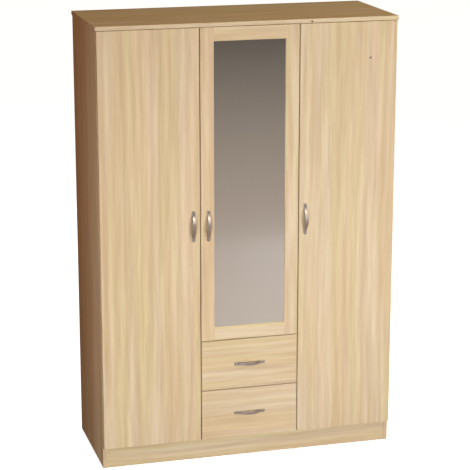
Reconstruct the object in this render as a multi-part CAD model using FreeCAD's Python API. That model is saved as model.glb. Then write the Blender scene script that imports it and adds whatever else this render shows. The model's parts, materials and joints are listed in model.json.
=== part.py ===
"""Three-door wardrobe with a framed mirror door over two drawers.

Flat-pack carcass of laminated board on a plinth. The left and middle doors open on one hanging
space with a hat shelf, the right door opens on shelves, and the drawers run on roller runners.
Millimetres. +Z up, the front faces -Y, the origin is on the floor under the middle of the box.
"""
import FreeCAD, Part
import math
import os

Vector = FreeCAD.Vector

# ---------------------------------------------------------------- overall sizes
BODY_WIDTH = 1220.0          # over the outer faces of the two side panels
TOTAL_HEIGHT = 1800.0
TOP_DEPTH = 491.5            # front edge of the top to the back of the back panels
BOARD = 16.0                 # carcass boards
BACK_BOARD = 3.0             # hardboard backs
EDGE_SOFTENING = 0.8         # rounding of the board edges

# ---------------------------------------------------------------- carcass
TOP_OVERHANG = 3.0           # top past each side panel
PLINTH_HEIGHT = 88.0         # floor to the underside of the bottom panel
PLINTH_SETBACK = 2.0         # front plinth behind the side panels' front edges
REAR_PLINTH_SETBACK = 40.0   # rear plinth in from the back
GLIDE_HEIGHT = 3.0
GLIDE_RADIUS = 7.0
BACK_INSET = 2.0             # back panels in from the side panels' outer faces
BACK_JOINT_GAP = 1.0         # between the two back panels
HAT_SHELF_DROP = 270.0       # underside of the top panel to the hat shelf
SHELF_SETBACK = 30.0         # shelf fronts behind the carcass front
SHELF_SIDE_CLEARANCE = 1.0
SHELF_REAR_CLEARANCE = 2.0

# ---------------------------------------------------------------- doors
DOOR_BOARD = 16.0
DOOR_STANDOFF = 3.0          # carcass front edges to the doors' back faces
DOOR_GAP = 4.0               # between doors side by side
ROW_GAP = 3.0                # between fronts one above the other
TOP_GAP = 2.0                # doors below the top panel
DOOR_INSET = 2.0             # outer doors in from the side panels' outer faces
FRONT_LIFT = 2.5             # fronts above the plinth's top edge
DOOR_EDGE_RADIUS = 1.5
BUFFER_THICKNESS = 2.7       # soft buffers that the shut doors rest on
BUFFER_RADIUS = 2.5
BUFFER_MARGIN = 0.4          # buffer in from the board's edge
BUFFER_SIDE_X = 20.0         # buffer in from a door's free edge
BUFFER_END_Z = 60.0          # buffer in from a door's end

# ---------------------------------------------------------------- mirror door
FRAME_WIDTH = 55.0           # visible stiles and rails
FRAME_LIP = 6.0              # frame in front of the glass
REBATE_WIDTH = 8.0
REBATE_CLEARANCE = 0.5       # round the glass and its backing
FRAME_ROUNDING = 2.5         # inner front edge of the frame
GLASS_THICKNESS = 3.0
BACKING_RECESS = 0.5         # backing in from the door's back face

# ---------------------------------------------------------------- drawers
DRAWER_FRONT_HEIGHT = 208.0
DRAWER_BOARD = 12.0
DRAWER_SIDE_HEIGHT = 130.0
DRAWER_LIFT = 29.5           # drawer side's lower edge above the front's lower edge
DRAWER_REAR_SPACE = 70.0     # free depth behind a drawer
DRAWER_BASE = 3.0
BASE_GROOVE_DEPTH = 5.0
BASE_GROOVE_HEIGHT = 10.0    # drawer base above the side's lower edge
BASE_CLEARANCE = 0.2
PARTITION_SETBACK = 1.5      # drawer partition in from the drawer fronts' left edge

# ---------------------------------------------------------------- roller runners
RUNNER_SPACE = 12.5          # partition to drawer side
RUNNER_SHEET = 1.0
CHANNEL_PLAY = 0.6           # roller's free height in the channel
CHANNEL_LIP = 0.7            # channel's flanges past the roller
CHANNEL_DROP = 4.0           # channel's foot below the drawer side's lower edge
RUNNER_FRONT_GAP = 2.0
ROLLER_RADIUS = 7.2
ROLLER_SIDE_GAP = 0.8        # roller to the steel on the wall's side
ROLLER_DRAWER_GAP = 1.7      # roller to the steel on the drawer's side
ROLLER_AXLE_RADIUS = 2.0
AXLE_CLEARANCE = 0.06
AXLE_END = 0.4               # axle past its roller
TRACK_CLEARANCE = 0.05       # roller to the flange that rolls on it
FRONT_ROLLER_IN = 12.0       # front roller's axle behind the channel's front end
REAR_ROLLER_IN = 12.0        # rear roller's axle ahead of the drawer member's rear end
FLANGE_ABOVE_CHANNEL = 0.5

# ---------------------------------------------------------------- cup hinges
HINGE_END = 100.0            # outer doors' end hinges in from the door's ends
MIRROR_HINGE_END = 90.0
TALL_DOOR_HINGES = 4
MIRROR_DOOR_HINGES = 3
CUP_RADIUS = 17.5
CUP_TAB = 3.0                # door edge to cup
CUP_DEPTH = 12.5
CUP_WALL = 1.2
CUP_FLOOR = 1.0
CUP_FLANGE = 1.2
CUP_RIM = 1.0                # flange past the cup's hole
CUP_FLANGE_OFFSET = 2.0      # screw wings past the cup's centre
CUP_FLANGE_CORNER = 4.0
CUP_FLANGE_HALF_HEIGHT = 30.0
CUP_FLANGE_WIDTH = 15.0
CUP_SCREW_SPACING = 48.0
CUP_SCREW_HOLE_RADIUS = 2.0
PIVOT_IN = 7.0               # hinge pin in from the door's edge
PIVOT_DEPTH = 8.5            # hinge pin behind the door's back face, inside the door
PIN_RADIUS = 1.1
PIN_CLEARANCE = 0.05
EYE_RADIUS = 2.0
NECK_THICKNESS = 2.0
NECK_HALF_HEIGHT = 3.5
NECK_REACH = 15.0            # hinge pin to the neck's upright
NECK_BEND = 5.0
ARM_WIDTH = 8.0
ARM_HALF_HEIGHT = 5.5
ARM_START = 12.0             # behind the door's back face
ARM_LENGTH = 50.0
ARM_SHEET = 1.3
ARM_SCREW_IN = 9.0           # fixing hole in from the arm's rear end
ARM_SCREW_HOLE_RADIUS = 2.6
PLATE_THICKNESS = 3.0
PLATE_HALF_HEIGHT = 24.0
PLATE_SCREW_SPACING = 32.0
PLATE_SCREW_IN = 37.0        # plate screws behind the carcass front
PLATE_START = 6.0            # plate's front end behind the arm's
PLATE_LENGTH = 42.0
PLATE_CORNER_RADIUS = 3.0
PLATE_WING_WIDTH = 14.0

# ---------------------------------------------------------------- handles
HANDLE_LENGTH = 128.0
HANDLE_CENTRES = 96.0
HANDLE_WIDTH = 12.0          # at the two ends
HANDLE_CROWN_WIDTH = 14.5    # at the middle of the bow
HANDLE_PROJECTION = 20.0
HANDLE_TIP = 4.5             # thickness at the two ends
HANDLE_BAR = 5.0             # thickness at the crown
HANDLE_GRIP = 92.0           # length of the hollow behind the bow
HANDLE_FOOT_STEP = 1.0       # hollow's ends above the mounting face
HANDLE_BOW_REACH = 2.0       # bow's foot past the screw centres
HANDLE_FOOT_SHARE = 0.35     # foot arc's part of the two radii of the bow
HANDLE_NOSE = 2.5            # rounding of the two ends
HANDLE_EDGE_RADIUS = 2.0
HANDLE_SCREW_RADIUS = 2.0
HANDLE_SCREW_DEPTH = 5.0
HANDLE_IN = 26.5             # handle's centre line in from a slab door's free edge
MIRROR_HANDLE_IN = 31.0      # the same on the mirror door
HANDLE_HEIGHT = 994.0        # door handles' middle above the floor

# ---------------------------------------------------------------- hanging rail
RAIL_WIDTH = 15.0
RAIL_HEIGHT = 30.0
RAIL_WALL = 1.2
RAIL_DROP = 55.0             # hat shelf's underside to the rail's middle
SOCKET_PLATE = 2.0
SOCKET_DEPTH = 12.0
SOCKET_WALL = 2.5
SOCKET_CLEARANCE = 0.25
SOCKET_EAR = 14.0            # plate past the oval at each end
SOCKET_SCREW_IN = 6.0

# ---------------------------------------------------------------- shelf pins
PIN_HOLE_RADIUS = 2.5
PIN_HOLE_DEPTH = 8.0
PIN_HOLE_PITCH = 32.0
SHELF_PIN_LENGTH = 8.0       # tongue under the shelf
SHELF_PIN_TONGUE = 2.0
SHELF_PIN_WIDTH = 7.0
PIN_ROW_IN = 37.0            # pin rows in from the shelf's front and back

# ---------------------------------------------------------------- board fasteners
CAM_RADIUS = 7.5
CAM_DEPTH = 12.5
CAM_SLOT = 1.5               # width and depth of the screwdriver slot
CAM_IN = 24.0                # cam's centre from the joint
BOLT_RADIUS = 3.0
BOLT_HOLE_RADIUS = 3.5
BOLT_THREAD_RADIUS = 2.5
BOLT_THREAD_LENGTH = 11.0
DOWEL_RADIUS = 4.0
DOWEL_IN_FACE = 10.0
DOWEL_IN_EDGE = 20.0
FASTENER_IN = 60.0           # cams in from a board's front and back edges
DOWEL_OFFSET = 32.0          # dowel beside its cam
PLINTH_CAM_RISE = 5.0        # plinth cams above the plinth's middle
PLINTH_DOWEL_OFFSET = 26.0
SCREW_RADIUS = 1.75
SCREW_HEAD_RADIUS = 3.5
SCREW_HEAD = 2.0
SCREW_LENGTH = 13.0
RUNNER_SCREW_HEAD = 1.2
RUNNER_SCREW_IN = 13.0       # end screws in from the channel's flanges

# ---------------------------------------------------------------- wall brackets
BRACKET_SHEET = 2.0
BRACKET_WIDTH = 20.0
BRACKET_LEG = 34.0
BRACKET_HOLE_RADIUS = 3.0
BRACKET_HOLE_DROP = 22.0     # wall hole below the top panel
BRACKET_SCREW_IN = 20.0      # top screw in front of the back panel
BRACKET_IN = 160.0           # brackets in from the side panels

# ---------------------------------------------------------------- planes worked out from the sizes
half_width = BODY_WIDTH / 2
left_inner = -half_width + BOARD
right_inner = half_width - BOARD
overall_depth = TOP_DEPTH + HANDLE_PROJECTION
front_y = -overall_depth / 2 + HANDLE_PROJECTION
door_back_y = front_y + DOOR_BOARD
carcass_front_y = door_back_y + DOOR_STANDOFF
rear_y = front_y + TOP_DEPTH
carcass_back_y = rear_y - BACK_BOARD
top_under_z = TOTAL_HEIGHT - BOARD
bottom_top_z = PLINTH_HEIGHT + BOARD

door_zone_left = -half_width + DOOR_INSET
door_zone_right = half_width - DOOR_INSET
door_width = (door_zone_right - door_zone_left - 2 * DOOR_GAP) / 3
left_door_right = door_zone_left + door_width
middle_left = left_door_right + DOOR_GAP
middle_right = middle_left + door_width
right_door_left = middle_right + DOOR_GAP
front_bottom_z = PLINTH_HEIGHT + FRONT_LIFT
door_top_z = top_under_z - TOP_GAP
upper_front_bottom_z = front_bottom_z + DRAWER_FRONT_HEIGHT + ROW_GAP
upper_front_top_z = upper_front_bottom_z + DRAWER_FRONT_HEIGHT
mirror_door_bottom_z = upper_front_top_z + ROW_GAP

partition_left = (middle_right + right_door_left - BOARD) / 2
partition_right = partition_left + BOARD
drawer_wall_left = middle_left + PARTITION_SETBACK
drawer_wall_right = drawer_wall_left + BOARD
drawer_top_under_z = upper_front_top_z + ROW_GAP / 2 - BOARD / 2
drawer_top_top_z = drawer_top_under_z + BOARD
hat_shelf_top_z = top_under_z - HAT_SHELF_DROP
hat_shelf_under_z = hat_shelf_top_z - BOARD
shelf_front_y = carcass_front_y + SHELF_SETBACK
shelf_back_y = carcass_back_y - SHELF_REAR_CLEARANCE

backing_thickness = DOOR_BOARD - FRAME_LIP - GLASS_THICKNESS - BACKING_RECESS
roller_width = RUNNER_SPACE - 2 * RUNNER_SHEET - ROLLER_SIDE_GAP - ROLLER_DRAWER_GAP
channel_height = 2 * (ROLLER_RADIUS + RUNNER_SHEET) + CHANNEL_PLAY
channel_width = RUNNER_SHEET + ROLLER_SIDE_GAP + roller_width + CHANNEL_LIP
drawer_length = carcass_back_y - door_back_y - DRAWER_REAR_SPACE
drawer_box_left = drawer_wall_right + RUNNER_SPACE
drawer_box_right = partition_left - RUNNER_SPACE
drawer_back_y = door_back_y + drawer_length

X = Vector(1, 0, 0)
Y = Vector(0, 1, 0)
Z = Vector(0, 0, 1)

cutters = {}                 # node name -> solids that are taken out of it
groups = {}                  # node name -> separate solids that share it


# ---------------------------------------------------------------- helpers
def box(x0, x1, y0, y1, z0, z1):
    return Part.makeBox(x1 - x0, y1 - y0, z1 - z0, Vector(x0, y0, z0))


def rod(start, direction, length, radius):
    return Part.makeCylinder(radius, length, start, direction)


def softened(solid, radius=EDGE_SOFTENING):
    """Rounds every edge of a plain board."""
    return solid.makeFillet(radius, solid.Edges)


def cut(solid, tools):
    return solid.cut(Part.makeCompound(tools)) if tools else solid


def fused(solids):
    return solids[0].multiFuse(solids[1:]).removeSplitter()


def drill(node, solid):
    cutters.setdefault(node, []).append(solid)


def add(node, solid):
    groups.setdefault(node, []).append(solid)


def export(node, shape):
    """Takes a node's holes out of it and writes it as one STEP file."""
    shape = cut(shape, cutters.get(node, []))
    shape.exportStep("parts/%s.step" % node)


def export_group(node):
    Part.makeCompound(groups[node]).exportStep("parts/%s.step" % node)


def hinge_heights(low, high, end, count):
    step = (high - low - 2 * end) / (count - 1)
    return [low + end + step * i for i in range(count)]


tall_hinges_z = hinge_heights(front_bottom_z, door_top_z, HINGE_END, TALL_DOOR_HINGES)
mirror_hinges_z = hinge_heights(mirror_door_bottom_z, door_top_z, MIRROR_HINGE_END, MIRROR_DOOR_HINGES)
shelf_tops = {
    "right_shelf_lower": (tall_hinges_z[0] + tall_hinges_z[1] + BOARD) / 2,
    "right_shelf_middle": (tall_hinges_z[1] + tall_hinges_z[2] + BOARD) / 2,
    "right_shelf_upper": hat_shelf_top_z,
}


# ---------------------------------------------------------------- fasteners
def cam_joint(edge_board, face_board, point, into, mouth):
    """A cam, its bolt and a dowel where edge_board butts on face_board.

    point is on the joint in the middle of edge_board's thickness, into points into edge_board and
    mouth towards the face that the cam is turned from.
    """
    add("cam_bolts", fused([
        rod(point - into * BOLT_THREAD_LENGTH, into, BOLT_THREAD_LENGTH, BOLT_THREAD_RADIUS),
        rod(point, into, CAM_IN, BOLT_RADIUS),
    ]))
    drill(face_board, rod(point - into * BOLT_THREAD_LENGTH, into, BOLT_THREAD_LENGTH, BOLT_THREAD_RADIUS))
    cam_foot = point + into * CAM_IN + mouth * (BOARD / 2 - CAM_DEPTH)
    cam = rod(cam_foot, mouth, CAM_DEPTH, CAM_RADIUS)
    bolt_room = rod(point, into, CAM_IN + BOLT_RADIUS, BOLT_HOLE_RADIUS)
    slot_start = point + into * (CAM_IN - CAM_RADIUS) + mouth * (BOARD / 2 - CAM_SLOT)
    across = into.cross(mouth)
    slot = Part.makeBox(CAM_SLOT, 2 * CAM_RADIUS, CAM_SLOT)
    slot.Placement = FreeCAD.Placement(
        slot_start - across * (CAM_SLOT / 2), FreeCAD.Rotation(across, into, mouth, "XYZ"))
    add("cam_locks", cut(cam, [bolt_room, slot]))
    drill(edge_board, cam)
    drill(edge_board, rod(point, into, CAM_IN, BOLT_HOLE_RADIUS))


def dowel_joint(edge_board, face_board, point, into):
    dowel = rod(point - into * DOWEL_IN_FACE, into, DOWEL_IN_FACE + DOWEL_IN_EDGE, DOWEL_RADIUS)
    add("wood_dowels", dowel)
    drill(face_board, dowel)
    drill(edge_board, dowel)


def board_joint(edge_board, face_board, x, z, into, mouth, y_front=None):
    """Two cams, each with a dowel beside it, along a joint that runs front to back."""
    y_front = carcass_front_y if y_front is None else y_front
    for y, side in ((y_front + FASTENER_IN, 1), (carcass_back_y - FASTENER_IN, -1)):
        cam_joint(edge_board, face_board, Vector(x, y, z), into, mouth)
        dowel_joint(edge_board, face_board, Vector(x, y + side * DOWEL_OFFSET, z), into)


def screw(board, point, into, head=SCREW_HEAD):
    """A countersunk screw whose head's top is at point. Returns the room it takes in a fitting."""
    body = fused([
        Part.makeCone(SCREW_HEAD_RADIUS, SCREW_RADIUS, head, point, into),
        rod(point, into, SCREW_LENGTH, SCREW_RADIUS),
    ])
    add("carcass_screws", body)
    drill(board, body)
    return body


# ---------------------------------------------------------------- carcass
def board_joints():
    top_z = (PLINTH_HEIGHT + bottom_top_z) / 2
    hat_z = (hat_shelf_under_z + hat_shelf_top_z) / 2
    drawer_top_z = (drawer_top_under_z + drawer_top_top_z) / 2
    partition_x = (partition_left + partition_right) / 2
    drawer_wall_x = (drawer_wall_left + drawer_wall_right) / 2
    board_joint("left_side_panel", "top_panel", -half_width + BOARD / 2, top_under_z, -Z, X)
    board_joint("right_side_panel", "top_panel", half_width - BOARD / 2, top_under_z, -Z, -X)
    board_joint("tall_partition", "top_panel", partition_x, top_under_z, -Z, X)
    board_joint("bottom_panel", "left_side_panel", left_inner, top_z, X, -Z)
    board_joint("bottom_panel", "right_side_panel", right_inner, top_z, -X, -Z)
    board_joint("tall_partition", "bottom_panel", partition_x, bottom_top_z, Z, X)
    board_joint("drawer_partition", "bottom_panel", drawer_wall_x, bottom_top_z, Z, -X)
    board_joint("drawer_partition", "drawer_top_shelf", drawer_wall_x, drawer_top_under_z, -Z, -X)
    board_joint("drawer_top_shelf", "tall_partition", partition_left, drawer_top_z, -X, -Z)
    board_joint("hat_shelf", "left_side_panel", left_inner, hat_z, X, -Z, shelf_front_y)
    board_joint("hat_shelf", "tall_partition", partition_left, hat_z, -X, -Z, shelf_front_y)
    plinth_z = (GLIDE_HEIGHT + PLINTH_HEIGHT) / 2 + PLINTH_CAM_RISE
    front_mid_y = carcass_front_y + PLINTH_SETBACK + BOARD / 2
    rear_mid_y = carcass_back_y - REAR_PLINTH_SETBACK - BOARD / 2
    for name, y, mouth in (("plinth", front_mid_y, Y), ("rear_plinth", rear_mid_y, -Y)):
        for side, x, into in (("left_side_panel", left_inner, X), ("right_side_panel", right_inner, -X)):
            cam_joint(name, side, Vector(x, y, plinth_z), into, mouth)
            dowel_joint(name, side, Vector(x, y, plinth_z - PLINTH_DOWEL_OFFSET), into)


def carcass_boards():
    front, back = carcass_front_y, carcass_back_y
    boards = {
        "left_side_panel": box(-half_width, left_inner, front, back, GLIDE_HEIGHT, top_under_z),
        "right_side_panel": box(right_inner, half_width, front, back, GLIDE_HEIGHT, top_under_z),
        "tall_partition": box(partition_left, partition_right, front, back, bottom_top_z, top_under_z),
        "drawer_partition": box(drawer_wall_left, drawer_wall_right, front, back,
                                bottom_top_z, drawer_top_under_z),
        "top_panel": box(-half_width - TOP_OVERHANG, half_width + TOP_OVERHANG, front_y, rear_y,
                         top_under_z, TOTAL_HEIGHT),
        "bottom_panel": box(left_inner, right_inner, front, back, PLINTH_HEIGHT, bottom_top_z),
        "plinth": box(left_inner, right_inner, front + PLINTH_SETBACK,
                      front + PLINTH_SETBACK + BOARD, GLIDE_HEIGHT, PLINTH_HEIGHT),
        "rear_plinth": box(left_inner, right_inner, back - REAR_PLINTH_SETBACK - BOARD,
                           back - REAR_PLINTH_SETBACK, GLIDE_HEIGHT, PLINTH_HEIGHT),
        "drawer_top_shelf": box(drawer_wall_left, partition_left, front, back,
                                drawer_top_under_z, drawer_top_top_z),
        "hat_shelf": box(left_inner, partition_left, shelf_front_y, back,
                         hat_shelf_under_z, hat_shelf_top_z),
    }
    for name, solid in boards.items():
        export(name, softened(solid))


def back_panels():
    joint_x = (partition_left + partition_right) / 2
    spans = {
        "back_panel_left": (-half_width + BACK_INSET, joint_x - BACK_JOINT_GAP / 2),
        "back_panel_right": (joint_x + BACK_JOINT_GAP / 2, half_width - BACK_INSET),
    }
    for name, (x0, x1) in spans.items():
        export(name, box(x0, x1, carcass_back_y, rear_y, PLINTH_HEIGHT, top_under_z))


def floor_glides():
    """Nailed plastic glides under the side panels and the two plinths."""
    side_ys = (carcass_front_y + FASTENER_IN / 2, carcass_back_y - FASTENER_IN / 2)
    spots = [(s * (half_width - BOARD / 2), y) for s in (-1, 1) for y in side_ys]
    plinth_ys = (carcass_front_y + PLINTH_SETBACK + BOARD / 2,
                 carcass_back_y - REAR_PLINTH_SETBACK - BOARD / 2)
    spots += [(s * half_width / 3, y) for s in (-1, 1) for y in plinth_ys]
    for x, y in spots:
        disc = rod(Vector(x, y, 0), Z, GLIDE_HEIGHT, GLIDE_RADIUS)
        foot_edge = [e for e in disc.Edges if e.BoundBox.ZMax < GLIDE_HEIGHT / 2 and e.Closed]
        add("floor_glides", disc.makeFillet(EDGE_SOFTENING, foot_edge))


# ---------------------------------------------------------------- shelves of the right bay
def right_shelves():
    """Loose shelves on pins. The upper one is level with the hat shelf, the others are between hinges."""
    for name, top in shelf_tops.items():
        x0 = partition_right + SHELF_SIDE_CLEARANCE
        x1 = right_inner - SHELF_SIDE_CLEARANCE
        export(name, softened(box(x0, x1, shelf_front_y, shelf_back_y, top - BOARD, top)))


def shelf_pins():
    for top in shelf_tops.values():
        under = top - BOARD
        for y in (shelf_front_y + PIN_ROW_IN, shelf_back_y - PIN_ROW_IN):
            shelf_pin("tall_partition", partition_right, y, under, X)
            shelf_pin("right_side_panel", right_inner, y, under, -X)


def shelf_pin(board, x, y, under, out):
    """A pin with a flat tongue under the shelf, and spare holes above and below it."""
    axis_z = under - PIN_HOLE_RADIUS
    peg = rod(Vector(x, y, axis_z) - out * PIN_HOLE_DEPTH, out, PIN_HOLE_DEPTH + 1, PIN_HOLE_RADIUS)
    x0, x1 = sorted((x, x + out.x * SHELF_PIN_LENGTH))
    tongue = box(x0, x1, y - SHELF_PIN_WIDTH / 2, y + SHELF_PIN_WIDTH / 2, under - SHELF_PIN_TONGUE, under)
    add("shelf_pins", fused([peg, tongue]))
    for step in (-1, 0, 1):
        start = Vector(x, y, axis_z + step * PIN_HOLE_PITCH) - out * PIN_HOLE_DEPTH
        drill(board, rod(start, out, PIN_HOLE_DEPTH, PIN_HOLE_RADIUS))


# ---------------------------------------------------------------- hanging rail
def oval(width, height, x0, length, y, z):
    """An upright oval bar along X."""
    straight = (height - width) / 2
    r = width / 2
    p = [Vector(x0, y - r, z - straight), Vector(x0, y - r, z + straight), Vector(x0, y, z + straight + r),
         Vector(x0, y + r, z + straight), Vector(x0, y + r, z - straight), Vector(x0, y, z - straight - r)]
    wire = Part.Wire([
        Part.LineSegment(p[0], p[1]).toShape(), Part.Arc(p[1], p[2], p[3]).toShape(),
        Part.LineSegment(p[3], p[4]).toShape(), Part.Arc(p[4], p[5], p[0]).toShape(),
    ])
    return Part.Face(wire).extrude(X * length)


def hanging_rail():
    y = (carcass_front_y + carcass_back_y) / 2
    z = hat_shelf_under_z - RAIL_DROP
    x0, x1 = left_inner + SOCKET_PLATE, partition_left - SOCKET_PLATE
    bore = oval(RAIL_WIDTH - 2 * RAIL_WALL, RAIL_HEIGHT - 2 * RAIL_WALL, x0, x1 - x0, y, z)
    export("hanging_rail", oval(RAIL_WIDTH, RAIL_HEIGHT, x0, x1 - x0, y, z).cut(bore))
    for board, face_x, out in (("left_side_panel", left_inner, 1), ("tall_partition", partition_left, -1)):
        rail_socket(board, face_x, out, y, z)


def rail_socket(board, face_x, out, y, z):
    """A screwed plate with an oval collar round the rail's end."""
    def span(a, b):
        lo, hi = sorted((face_x + out * a, face_x + out * b))
        return lo, hi - lo

    plate_front = face_x + out * SOCKET_PLATE
    plate_x, plate_l = span(0, SOCKET_PLATE)
    collar_x, collar_l = span(SOCKET_PLATE, SOCKET_PLATE + SOCKET_DEPTH)
    grown = 2 * (SOCKET_WALL + SOCKET_CLEARANCE)
    plate_height = RAIL_HEIGHT + grown + 2 * SOCKET_EAR
    plate = oval(RAIL_WIDTH + grown, plate_height, plate_x, plate_l, y, z)
    collar = oval(RAIL_WIDTH + grown, RAIL_HEIGHT + grown, collar_x, collar_l, y, z)
    room = oval(RAIL_WIDTH + 2 * SOCKET_CLEARANCE, RAIL_HEIGHT + 2 * SOCKET_CLEARANCE,
                collar_x, collar_l, y, z)
    screw_z = plate_height / 2 - SOCKET_SCREW_IN
    screws = [screw(board, Vector(plate_front, y, z + s * screw_z), X * -out) for s in (-1, 1)]
    add("rail_sockets", cut(fused([plate, collar]), [room] + screws))


# ---------------------------------------------------------------- wall brackets
def wall_brackets():
    """Steel angles under the top panel, with a hole through the back panel to the wall."""
    places = {"back_panel_left": left_inner + BRACKET_IN, "back_panel_right": right_inner - BRACKET_IN}
    for panel, x in places.items():
        x0, x1 = x - BRACKET_WIDTH / 2, x + BRACKET_WIDTH / 2
        back = carcass_back_y
        angle = fused([
            box(x0, x1, back - BRACKET_LEG, back, top_under_z - BRACKET_SHEET, top_under_z),
            box(x0, x1, back - BRACKET_SHEET, back, top_under_z - BRACKET_LEG, top_under_z),
        ])
        hole = rod(Vector(x, back - BRACKET_SHEET, top_under_z - BRACKET_HOLE_DROP), Y,
                   BRACKET_SHEET + BACK_BOARD, BRACKET_HOLE_RADIUS)
        fixing = screw("top_panel", Vector(x, back - BRACKET_SCREW_IN, top_under_z - BRACKET_SHEET), Z)
        add("wall_brackets", cut(angle, [hole, fixing]))
        drill(panel, hole)


# ---------------------------------------------------------------- doors
def rounded_front(solid):
    """Rounds the four edges round a front's outer face."""
    edges = [e for e in solid.Edges if e.BoundBox.YMax < front_y + 0.01]
    return solid.makeFillet(DOOR_EDGE_RADIUS, edges)


def handle_holes(node, x, z, along):
    for s in (-1, 1):
        start = Vector(x, front_y, z) + along * (s * HANDLE_CENTRES / 2)
        drill(node, rod(start, Y, DOOR_BOARD, HANDLE_SCREW_RADIUS))


def slab_doors():
    doors = {
        "left": (door_zone_left, left_door_right, left_door_right - HANDLE_IN),
        "right": (right_door_left, door_zone_right, right_door_left + HANDLE_IN),
    }
    for side, (x0, x1, handle_x) in doors.items():
        name = side + "_door_panel"
        handle_holes(name, handle_x, HANDLE_HEIGHT, Z)
        slab = box(x0, x1, front_y, door_back_y, front_bottom_z, door_top_z)
        export(name, rounded_front(slab))
        export(side + "_door_handle", bow_handle(handle_x, HANDLE_HEIGHT, True))


def mirror_door():
    """A frame with the glass and its backing in a rebate. The stiles run full height."""
    x0, x1, z0, z1 = middle_left, middle_right, mirror_door_bottom_z, door_top_z
    inner = (x0 + FRAME_WIDTH, x1 - FRAME_WIDTH, z0 + FRAME_WIDTH, z1 - FRAME_WIDTH)
    glass_y = front_y + FRAME_LIP
    ring = mirror_frame(x0, x1, z0, z1, inner, glass_y)
    inner_x0, inner_x1, inner_z0, inner_z1 = inner
    spans = {
        "mirror_door_left_stile": (x0, inner_x0, z0, z1),
        "mirror_door_right_stile": (inner_x1, x1, z0, z1),
        "mirror_door_top_rail": (inner_x0, inner_x1, inner_z1, z1),
        "mirror_door_bottom_rail": (inner_x0, inner_x1, z0, inner_z0),
    }
    handle_x = x0 + MIRROR_HANDLE_IN
    handle_holes("mirror_door_left_stile", handle_x, HANDLE_HEIGHT, Z)
    for name, (left, right, low, high) in spans.items():
        export(name, ring.common(box(left, right, front_y, door_back_y, low, high)))
    reach = REBATE_WIDTH - REBATE_CLEARANCE
    back_y = glass_y + GLASS_THICKNESS
    pane = (inner_x0 - reach, inner_x1 + reach)
    height = (inner_z0 - reach, inner_z1 + reach)
    export("mirror_glass", box(*pane, glass_y, back_y, *height))
    export("mirror_backing", box(*pane, back_y, back_y + backing_thickness, *height))
    export("mirror_door_handle", bow_handle(handle_x, HANDLE_HEIGHT, True))


def mirror_frame(x0, x1, z0, z1, inner, glass_y):
    """The four members as one ring, rounded outside and, more, beside the glass."""
    inner_x0, inner_x1, inner_z0, inner_z1 = inner
    opening = box(inner_x0, inner_x1, front_y, door_back_y, inner_z0, inner_z1)
    rebate = box(inner_x0 - REBATE_WIDTH, inner_x1 + REBATE_WIDTH, glass_y, door_back_y,
                 inner_z0 - REBATE_WIDTH, inner_z1 + REBATE_WIDTH)
    ring = box(x0, x1, front_y, door_back_y, z0, z1).cut(opening).cut(rebate)

    def front_edges(beside_glass):
        found = []
        for edge in ring.Edges:
            b = edge.BoundBox
            inside = b.XMin > inner_x0 - 1 and b.XMax < inner_x1 + 1 and b.ZMin > inner_z0 - 1
            if b.YMax < front_y + 0.01 and inside == beside_glass:
                found.append(edge)
        return found

    ring = ring.makeFillet(FRAME_ROUNDING, front_edges(True))
    return ring.makeFillet(DOOR_EDGE_RADIUS, front_edges(False))


# ---------------------------------------------------------------- handles
def bow(half, low, high):
    """Three tangent arcs: up from height low at one end, over the crown, and down to the other."""
    rise = high - low
    both_radii = (half ** 2 + rise ** 2) / (2 * rise)
    foot_radius = HANDLE_FOOT_SHARE * both_radii
    lean = math.asin(half / both_radii)

    def on_foot(angle, side):
        along = half - foot_radius * math.sin(angle)
        return Vector(side * along, -low - foot_radius * (1 - math.cos(angle)), 0)

    return [
        Part.Arc(on_foot(0, -1), on_foot(lean / 2, -1), on_foot(lean, -1)).toShape(),
        Part.Arc(on_foot(lean, -1), Vector(0, -high, 0), on_foot(lean, 1)).toShape(),
        Part.Arc(on_foot(lean, 1), on_foot(lean / 2, 1), on_foot(0, 1)).toShape(),
    ]


def line(a, b):
    return Part.LineSegment(Vector(*a, 0), Vector(*b, 0)).toShape()


def nose(side):
    """The rounded upper corner at one end of the handle."""
    half, r, d = HANDLE_LENGTH / 2, HANDLE_NOSE, HANDLE_NOSE * (1 - math.sqrt(0.5))
    low = Vector(side * half, -HANDLE_TIP + r, 0)
    high = Vector(side * (half - r), -HANDLE_TIP, 0)
    return Part.Arc(low, Vector(side * (half - d), -HANDLE_TIP + d, 0), high).toShape()


def across_bar(edges):
    """A bar as wide as the handle's middle, whose side outline is the closed wire of these edges."""
    face = Part.Face(Part.Wire(Part.__sortEdges__(edges)))
    face.translate(Z * (-HANDLE_CROWN_WIDTH / 2))
    return face.extrude(Z * HANDLE_CROWN_WIDTH)


def leaf():
    """The handle's outline from the front, widest at the middle, as a block deeper than the handle."""
    half, end, crown = HANDLE_LENGTH / 2, HANDLE_WIDTH / 2, HANDLE_CROWN_WIDTH / 2

    def side(s):
        ends = [Vector(x, 0, s * end) for x in (-half, half)]
        return Part.Arc(ends[0], Vector(0, 0, s * crown), ends[1]).toShape()

    def tip(s):
        return Part.LineSegment(Vector(s * half, 0, -end), Vector(s * half, 0, end)).toShape()

    edges = [side(-1), side(1), tip(-1), tip(1)]
    return Part.Face(Part.Wire(Part.__sortEdges__(edges))).extrude(-Y * (HANDLE_PROJECTION + HANDLE_BAR))


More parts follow.
